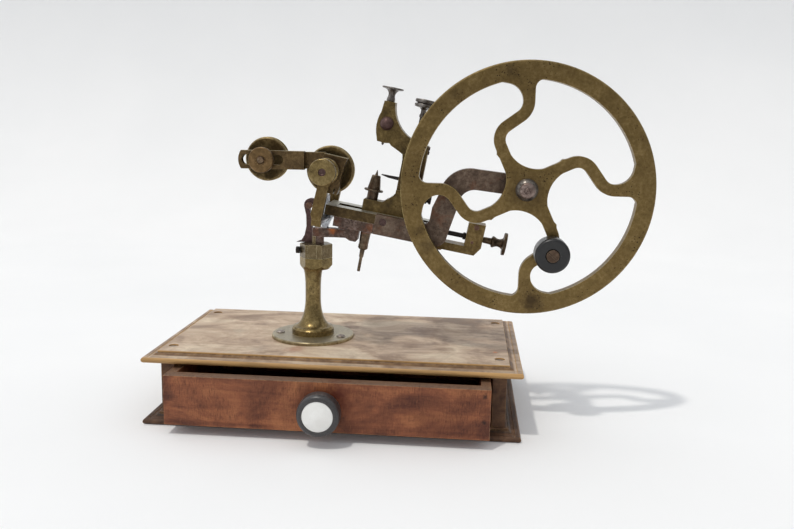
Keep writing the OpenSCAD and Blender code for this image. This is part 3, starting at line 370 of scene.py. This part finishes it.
def porcelain(name):
    """White glaze with faint brown craze lines."""
    s = Shader(name)
    cloud = s.noise(0.12, 4, 0.5)
    colour = s.ramp(cloud, (0.35, srgb(232, 231, 227)), (0.7, srgb(243, 243, 240)))
    craze = s.level(s.cells(0.28, feature="DISTANCE_TO_EDGE"), 0.0, 0.012, 1.0, 0.0)
    faint = s.math("MULTIPLY", craze, s.level(s.noise(0.15, 3), 0.5, 0.65, 0.0, 0.3))
    colour = s.mix(faint, colour, srgb(150, 132, 104))
    return s.finish(colour, s.level(cloud, 0.3, 0.7, 0.10, 0.2), s.bump(cloud, 0.15, 0.25),
                    Coat_Weight=0.5, Coat_Roughness=0.06)


def backdrop():
    """A nearly white, dull sheet."""
    s = Shader("white_cloth")
    soft = s.noise(0.004, 3, 0.5)
    colour = s.ramp(soft, (0.3, (0.84, 0.845, 0.85)), (0.7, (0.87, 0.872, 0.875)))
    return s.finish(colour, 0.9, s.bump(s.noise(0.6, 3), 0.4, 0.15), Specular_IOR_Level=0.1,
                    Emission_Color=(0.95, 0.97, 1.0, 1), Emission_Strength=0.03)


def on_wheel(x, z):
    """A point of the handwheel's near side, from its middle."""
    return beside("handwheel", x, -3, z)


def on_board(x, y):
    """A point of the top board's upper face."""
    return (x, y, highest("top_board")[2])


DIRT = srgb(50, 38, 28)
WHEEL_ZONES = [(on_wheel(7, -77), 9, 0.7, DIRT), (on_wheel(-14, 79), 5, 0.5, DIRT),
               (on_wheel(-66, -40), 8, 0.45, DIRT), (on_wheel(-72, -30), 6, 0.4, DIRT),
               (on_wheel(-50, 63), 5, 0.3, DIRT), (on_wheel(0, 0), 17, 0.35, DIRT)]
BOARD_ZONES = [(on_board(58, 18), 15, 0.75, srgb(112, 82, 62)),
               (on_board(33, -9), 5, 0.6, srgb(96, 72, 56)),
               (on_board(52, -29), 8, 0.45, srgb(110, 82, 62)),
               (on_board(76, -33), 8, 0.4, srgb(110, 82, 62)),
               (on_board(-5, 16), 8, 0.5, srgb(100, 74, 58)),
               (on_board(-28, -49), 9, 0.5, srgb(150, 84, 54)),
               (on_board(-54, -51), 10, 0.35, srgb(128, 112, 100)),
               (on_board(-82, -5), 9, 0.3, srgb(128, 112, 100)),
               (on_board(-82, 37), 12, 0.3, srgb(128, 112, 100)),
               (on_board(17, 54), 10, 0.3, srgb(128, 112, 100)),
               (on_board(112, -35), 2.2, 0.8, srgb(190, 112, 60))]
TOP_UNDER = lowest("top_board")[2]
FRONT_Y = lowest("drawer_front")[1]
DRAWER_ZONES = [((8, FRONT_Y, 33), 15, 0.9, srgb(84, 34, 22)),
                ((104.5, FRONT_Y, 19.5), 2.2, 0.9, srgb(44, 26, 20)),
                ((104.5, FRONT_Y, 36.7), 2.2, 0.9, srgb(44, 26, 20)),
                ((-104, FRONT_Y, 28), 5, 0.4, srgb(60, 34, 26))]
BRASS_EDGE = srgb(206, 184, 126)
STEEL_EDGE = srgb(176, 166, 156)

MATERIALS = {
    "top_wood": wood("top_wood", srgb(218, 201, 176), srgb(189, 165, 141), srgb(142, 119, 100),
                     wear=0.3, stain=0.55, seed=3.0, edge=srgb(214, 178, 128), gloss=0.42,
                     zones=BOARD_ZONES, sides=srgb(184, 144, 92), figure_amount=0.45,
                     # painted shade in the hollow of the top board's moulding
                     cove_shade=(TOP_UNDER + 4.3, TOP_UNDER + 6.1, srgb(92, 66, 46))),
    "case_wood": wood("case_wood", srgb(124, 92, 66), srgb(92, 66, 48), srgb(58, 40, 30),
                      along="Y", wear=0.35, stain=0.5, seed=11.0, edge=srgb(184, 144, 92),
                      # painted shade in the hollow of the case moulding
                      cove_shade=(4.3, 6.1, srgb(48, 34, 26))),
    "drawer_wood": wood("drawer_wood", srgb(174, 112, 72), srgb(138, 82, 54), srgb(86, 46, 32),
                        wear=0.3, stain=0.5, seed=23.0, edge=srgb(196, 152, 112), gloss=0.38,
                        # rims: the tone of upward faces, dimmed as painted shade under the top
                        # board
                        zones=DRAWER_ZONES, ticks=0.85, rims=srgb(122, 99, 80),
                        figure_amount=0.6),
    "old_brass": aged_metal("old_brass", srgb(86, 69, 42), srgb(112, 92, 56), srgb(142, 120, 78),
                            BRASS_EDGE, film=srgb(72, 54, 34)),
    "wheel_brass": aged_metal("wheel_brass", srgb(100, 82, 48), srgb(120, 99, 60),
                              srgb(142, 120, 78), BRASS_EDGE, film=srgb(80, 62, 36),
                              film_amount=0.25, specks=0.8, zones=WHEEL_ZONES, edge_amount=0.8,
                              edge_mm=0.7),
    "turned_brass": aged_metal("turned_brass", srgb(100, 84, 52), srgb(132, 113, 72),
                               srgb(162, 142, 98), srgb(220, 200, 146), film=srgb(70, 54, 32),
                               turned=True, rough=(0.22, 0.40), edge_amount=0.85, seed=3.0),
    "dull_brass": aged_metal("dull_brass", srgb(92, 77, 50), srgb(122, 104, 70),
                             srgb(156, 137, 98), BRASS_EDGE, film=srgb(62, 48, 32), turned=True,
                             rough=(0.3, 0.46), seed=16.0),
    # painted highlight: the upward faces of the slotted bar and yoke are painted pale
    "brown_brass_lit_top": aged_metal("brown_brass_lit_top", srgb(74, 59, 40), srgb(98, 79, 52),
                              srgb(126, 103, 70), BRASS_EDGE, film=srgb(56, 42, 30),
                              film_amount=0.45, faces=[((0, 0, 1), srgb(206, 196, 168), 0.7)],
                              edge_amount=0.9, seed=5.0),
    "nut_brass": aged_metal("nut_brass", srgb(92, 72, 46), srgb(116, 92, 60), srgb(142, 114, 78),
                            srgb(206, 176, 126), film=srgb(74, 52, 34), turned=True,
                            zones=[(middle("idler_nut"), 4.5, 0.6, srgb(70, 46, 32))], seed=8.0),
    "dark_steel": aged_metal("dark_steel", srgb(72, 60, 54), srgb(96, 82, 76), srgb(128, 114, 106),
                             STEEL_EDGE, film=srgb(52, 38, 34), metallic=0.6, rust=0.25,
                             rough=(0.38, 0.58), edge_amount=0.5),
    "arm_steel": aged_metal("arm_steel", srgb(66, 52, 44), srgb(94, 76, 66), srgb(142, 122, 112),
                            srgb(196, 180, 170), film=srgb(56, 40, 34), metallic=0.65, rust=0.35,
                            rough=(0.34, 0.55), seed=2.0,
                            # the two orange spots are rust; the pale spot on the round stem above
                            # the collar is a painted highlight
                            zones=[(on_head(12, -4, 13), 4, 0.85, srgb(176, 100, 48)),
                                   (on_head(40, -17, 22), 4, 0.6, srgb(140, 84, 52)),
                                   (beside("swivel_collar", 1.6, 0, 22), 7, 0.6,
                                    srgb(186, 164, 156))]),
    "neck_steel": aged_metal("neck_steel", srgb(72, 57, 46), srgb(102, 84, 70),
                             srgb(134, 116, 100), STEEL_EDGE, film=srgb(60, 46, 38),
                             metallic=0.6, rust=0.3, rough=(0.38, 0.6), edge_amount=0.45,
                             seed=4.0,
                             zones=[(on_head(140, -18, 70), 12, 0.5, srgb(60, 44, 36))]),
    "plum_steel": aged_metal("plum_steel", srgb(66, 46, 44), srgb(88, 64, 60), srgb(112, 86, 80),
                             srgb(150, 130, 122), film=srgb(46, 30, 28), metallic=0.55,
                             rough=(0.36, 0.55), edge_amount=0.4, seed=9.0),
    "runner_steel": aged_metal("runner_steel", srgb(70, 58, 46), srgb(104, 88, 70),
                               srgb(140, 122, 98), srgb(196, 182, 156), film=srgb(52, 40, 30),
                               metallic=0.75, rough=(0.26, 0.44), turned=True, rust=0.2,
                               zones=[(on_head(36.2, 0, 16), 4, 0.8, RUST)], seed=6.0),
    # painted shade and highlight: dark tones stand for the shaded front of the bed, and faces
    # square to the bed are painted near white
    "bed_brass_shade_and_highlight": aged_metal("bed_brass_shade_and_highlight", srgb(63, 50, 31), srgb(83, 67, 42), srgb(107, 88, 57),
                            srgb(206, 192, 160), film=srgb(50, 38, 26), film_amount=0.5,
                            faces=[(tuple(OFF_BED), srgb(204, 202, 190), 0.85)], seed=7.0),
    "carriage_brass": aged_metal("carriage_brass", srgb(80, 66, 40), srgb(106, 88, 53),
                                 srgb(137, 116, 74), BRASS_EDGE, film=srgb(58, 45, 30),
                                 # painted shade: two dark spots on the carriage column below the
                                 # arm
                                 zones=[(on_head(61, -5, 62), 15, 0.75, srgb(72, 56, 40)),
                                        (on_head(60, -5, 72), 9, 0.5, srgb(64, 50, 38))],
                                 seed=1.0),
    "collar_brass": aged_metal("collar_brass", srgb(90, 76, 54), srgb(112, 97, 69),
                               srgb(139, 123, 94), srgb(236, 222, 180), film=srgb(74, 58, 38),
                               rough=(0.24, 0.42), edge_amount=0.9, film_amount=0.3, seed=12.0),
    "worn_steel": aged_metal("worn_steel", srgb(122, 112, 104), srgb(158, 148, 140),
                             srgb(190, 184, 176), srgb(222, 218, 210), film=srgb(84, 64, 54),
                             metallic=0.85, rough=(0.28, 0.5), rust=0.15),
    "grey_steel": aged_metal("grey_steel", srgb(84, 78, 72), srgb(116, 110, 104),
                             srgb(150, 145, 140), srgb(208, 202, 194), film=srgb(58, 46, 40),
                             metallic=0.85, rough=(0.24, 0.44), turned=True, seed=14.0),
    "nut_steel": aged_metal("nut_steel", srgb(96, 80, 74), srgb(134, 116, 108),
                            srgb(172, 156, 148), srgb(226, 214, 206), film=srgb(66, 50, 44),
                            metallic=0.8, rough=(0.26, 0.44), turned=True, edge_mm=0.35,
                            seed=18.0),
    # painted sheen: the more polished top face is painted paler on faces turned upward
    "flange_brass_top_sheen": aged_metal("flange_brass_top_sheen", srgb(129, 115, 87), srgb(168, 152, 116),
                               srgb(206, 192, 156), srgb(226, 210, 168), film=srgb(66, 52, 36),
                               faces=[((0, 0, 1), srgb(168, 160, 142), 0.6)], turned=True,
                               rough=(0.28, 0.46), seed=15.0),
    "clear_steel": aged_metal("clear_steel", srgb(150, 152, 156), srgb(186, 190, 196),
                              srgb(214, 218, 222), srgb(236, 238, 240), film=srgb(112, 100, 92),
                              metallic=0.9, rough=(0.24, 0.42), specks=0.35, film_amount=0.25),
    "stud_brown": aged_metal("stud_brown", srgb(62, 48, 38), srgb(86, 68, 54), srgb(112, 92, 74),
                             srgb(170, 150, 126), film=srgb(42, 30, 24), metallic=0.7,
                             rough=(0.34, 0.55), seed=17.0),
    "screw_brown": aged_metal("screw_brown", srgb(84, 58, 46), srgb(110, 80, 66),
                              srgb(140, 108, 90), srgb(176, 150, 130), film=srgb(52, 34, 28),
                              metallic=0.7, rough=(0.34, 0.55), rust=0.3),
    "ebonised_wood": ebony("ebonised_wood", srgb(64, 61, 62), srgb(126, 108, 94)),
    "crank_black": ebony("crank_black", srgb(18, 17, 18), srgb(84, 78, 74)),
    "porcelain": porcelain("porcelain"),
    "black_steel": aged_metal("black_steel", srgb(30, 27, 26), srgb(50, 44, 40), srgb(74, 64, 56),
                              srgb(130, 116, 100), film=srgb(20, 17, 16), metallic=0.6,
                              rough=(0.34, 0.52), edge_amount=0.5),
    "bronze_black": aged_metal("bronze_black", srgb(58, 46, 34), srgb(84, 68, 50),
                               srgb(112, 92, 66), srgb(160, 138, 104), film=srgb(38, 28, 22),
                               metallic=0.7, turned=True, rough=(0.3, 0.48), seed=13.0),
}

# The nodes whose look is not simply that of their material slot.
SPECIAL = {
    "handwheel": "wheel_brass", "pillar_column": "turned_brass", "spindle_knob": "turned_brass",
    "pillar_flange": "flange_brass_top_sheen", "swivel_collar": "collar_brass", "idler_nut": "nut_brass",
    "idler_pulley": "dull_brass", "drive_pulley": "dull_brass", "slotted_bar": "brown_brass_lit_top",
    "tension_yoke": "brown_brass_lit_top", "bed": "bed_brass_shade_and_highlight", "carriage": "carriage_brass",
    "support_arm": "arm_steel", "goose_neck": "neck_steel", "rear_strut": "plum_steel",
    "runner_clamp_screw": "plum_steel", "bed_screws": "screw_brown",
    "carriage_screws": "plum_steel", "end_block_screws": "screw_brown",
    "goose_neck_screws": "plum_steel", "crank_stud": "stud_brown", "crank_knob": "crank_black",
    "lower_sleeve": "runner_steel", "lower_runner": "runner_steel", "rest_disc": "runner_steel",
    "upper_runner_button": "grey_steel", "upper_runner": "grey_steel",
    "column_screw": "grey_steel", "cutter_spindle": "plum_steel", "idler_stud": "runner_steel",
    "hub_cap": "grey_steel", "axle_nut": "nut_steel", "rocking_shaft": "clear_steel",
    "bearing_post": "clear_steel",
    "leadscrew": "black_steel", "leadscrew_knob": "bronze_black", "work_finger": "black_steel",
    "side_screw": "black_steel", "collar_screw": "black_steel",
}


# ---------------------------------------------------------------- pieces

def add_piece(name, mesh, node, material):
    piece = bpy.data.objects.new(name, mesh)
    bpy.context.scene.collection.objects.link(piece)
    mesh.materials.clear()
    mesh.materials.append(MATERIALS[material])
    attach(piece, NODE_BODY[node])
    return piece


def applied(piece):
    """Turns the modifiers into plain mesh."""
    graph = bpy.context.evaluated_depsgraph_get()
    mesh = bpy.data.meshes.new_from_object(piece.evaluated_get(graph))
    old = piece.data
    piece.modifiers.clear()
    piece.data = mesh
    bpy.data.meshes.remove(old)


EDGE_MM, EDGE_SEGMENTS, EDGE_ANGLE = 0.4, 2, 32
WELD_MM, FLAT_DEGREES = 0.004, 0.4
NORMAL_WEIGHT = 60


def softened(node):
    """The CAD shape with its sharp edges rounded over, as wear and filing leave them."""
    mesh = frame["nodes"][node].data.copy()
    edit = bmesh.new()
    edit.from_mesh(mesh)
    bmesh.ops.remove_doubles(edit, verts=edit.verts, dist=WELD_MM * MM)
    bmesh.ops.dissolve_limit(edit, angle_limit=math.radians(FLAT_DEGREES), verts=edit.verts,
                             edges=edit.edges)
    edit.to_mesh(mesh)
    edit.free()
    for polygon in mesh.polygons:
        polygon.use_smooth = True
    piece = add_piece(node + "_piece", mesh, node, SPECIAL.get(node, SLOTS[node]))
    bevel = piece.modifiers.new("bevel", "BEVEL")
    bevel.width = EDGE_MM * MM
    bevel.segments = EDGE_SEGMENTS
    bevel.limit_method = "ANGLE"
    bevel.angle_limit = math.radians(EDGE_ANGLE)
    normals = piece.modifiers.new("normals", "WEIGHTED_NORMAL")
    normals.weight = NORMAL_WEIGHT
    applied(piece)
    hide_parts(node)


for node in sorted(frame["nodes"]):
    softened(node)


# ---------------------------------------------------------------- studio

def backdrop_sheet():
    """A pale floor that sweeps up behind the object."""
    front_y, floor_y, turn, height, half = -2.2, 0.75, 0.5, 1.6, 3.0
    profile = [(front_y, 0.0), (floor_y, 0.0)]
    steps = 16
    for i in range(1, steps + 1):
        a = math.pi / 2 * i / steps
        profile.append((floor_y + turn * math.sin(a), turn * (1 - math.cos(a))))
    profile.append((floor_y + turn, height))
    mesh = bpy.data.meshes.new("backdrop")
    points = [(x, y, z) for y, z in profile for x in (-half, half)]
    faces = [(2 * i, 2 * i + 1, 2 * i + 3, 2 * i + 2) for i in range(len(profile) - 1)]
    mesh.from_pydata(points, [], faces)
    for polygon in mesh.polygons:
        polygon.use_smooth = True
    sheet = bpy.data.objects.new("backdrop", mesh)
    sheet.data.materials.append(backdrop())
    bpy.context.scene.collection.objects.link(sheet)


def sun(direction, strength, spread_degrees, colour):
    light = bpy.data.lights.new("sun", "SUN")
    light.energy = strength
    light.angle = math.radians(spread_degrees)
    light.color = colour
    lamp = bpy.data.objects.new("sun", light)
    lamp.rotation_euler = Vector(direction).to_track_quat("-Z", "Y").to_euler()
    bpy.context.scene.collection.objects.link(lamp)


ROOM_TINT = (0.95, 0.97, 1.0, 1)
ROOM_GLOW, TOP_GLOW, LEFT_GLOW, BACK_GLOW = 0.26, 0.40, 0.42, 0.24


def room_light():
    """A pale room: brighter above and on the left, darker on the user's side."""
    world = bpy.data.worlds.new("studio")
    world.use_nodes = True
    tree = world.node_tree
    where = tree.nodes.new("ShaderNodeTexCoord")
    axes = tree.nodes.new("ShaderNodeSeparateXYZ")
    tree.links.new(where.outputs["Generated"], axes.inputs[0])

    def term(name, low, high, amount):
        node = tree.nodes.new("ShaderNodeMapRange")
        node.interpolation_type = "SMOOTHSTEP"
        tree.links.new(axes.outputs[name], node.inputs["Value"])
        for socket, number in zip(("From Min", "From Max", "To Min", "To Max"),
                                  (low, high, 0.0, amount)):
            node.inputs[socket].default_value = number
        return node.outputs[0]

    total = term("Z", -0.1, 0.8, TOP_GLOW)
    for extra in (term("X", 0.2, -0.9, LEFT_GLOW), term("Y", -0.6, 0.7, BACK_GLOW)):
        node = tree.nodes.new("ShaderNodeMath")
        node.operation = "ADD"
        tree.links.new(total, node.inputs[0])
        tree.links.new(extra, node.inputs[1])
        total = node.outputs[0]
    base = tree.nodes.new("ShaderNodeMath")
    base.operation = "ADD"
    tree.links.new(total, base.inputs[0])
    base.inputs[1].default_value = ROOM_GLOW
    background = tree.nodes["Background"]
    background.inputs["Color"].default_value = ROOM_TINT
    tree.links.new(base.outputs[0], background.inputs["Strength"])
    bpy.context.scene.world = world


EYE_MM = (88.68, -598.91, 208.67)
EYE_TURNS = (4.80, 9.74, 1.12)
LENS_MM = 37.16


def camera():
    """A camera a little right of the middle, looking slightly left and down."""
    yaw, pitch, roll = (math.radians(a) for a in EYE_TURNS)
    forward = Vector((-math.sin(yaw) * math.cos(pitch), math.cos(yaw) * math.cos(pitch),
                      -math.sin(pitch)))
    level = Vector((math.cos(yaw), math.sin(yaw), 0))
    upright = level.cross(forward)
    right = math.cos(roll) * level + math.sin(roll) * upright
    up = math.cos(roll) * upright - math.sin(roll) * level
    data = bpy.data.cameras.new("camera")
    data.sensor_width = 36
    data.lens = LENS_MM
    data.clip_start = 0.01
    data.clip_end = 20
    eye = bpy.data.objects.new("camera", data)
    turn = Matrix((right, up, -forward)).transposed().to_4x4()
    eye.matrix_world = Matrix.Translation(Vector(EYE_MM) * MM) @ turn
    bpy.context.scene.collection.objects.link(eye)
    bpy.context.scene.camera = eye


SUN_WAY, SUN_STRENGTH, SUN_SPREAD, SUN_TINT = (0.28, 0.383, -1), 1.1, 3, (1.0, 0.965, 0.90)

backdrop_sheet()
sun(SUN_WAY, SUN_STRENGTH, SUN_SPREAD, SUN_TINT)
room_light()
camera()
bpy.context.scene.view_settings.view_transform = "Standard"
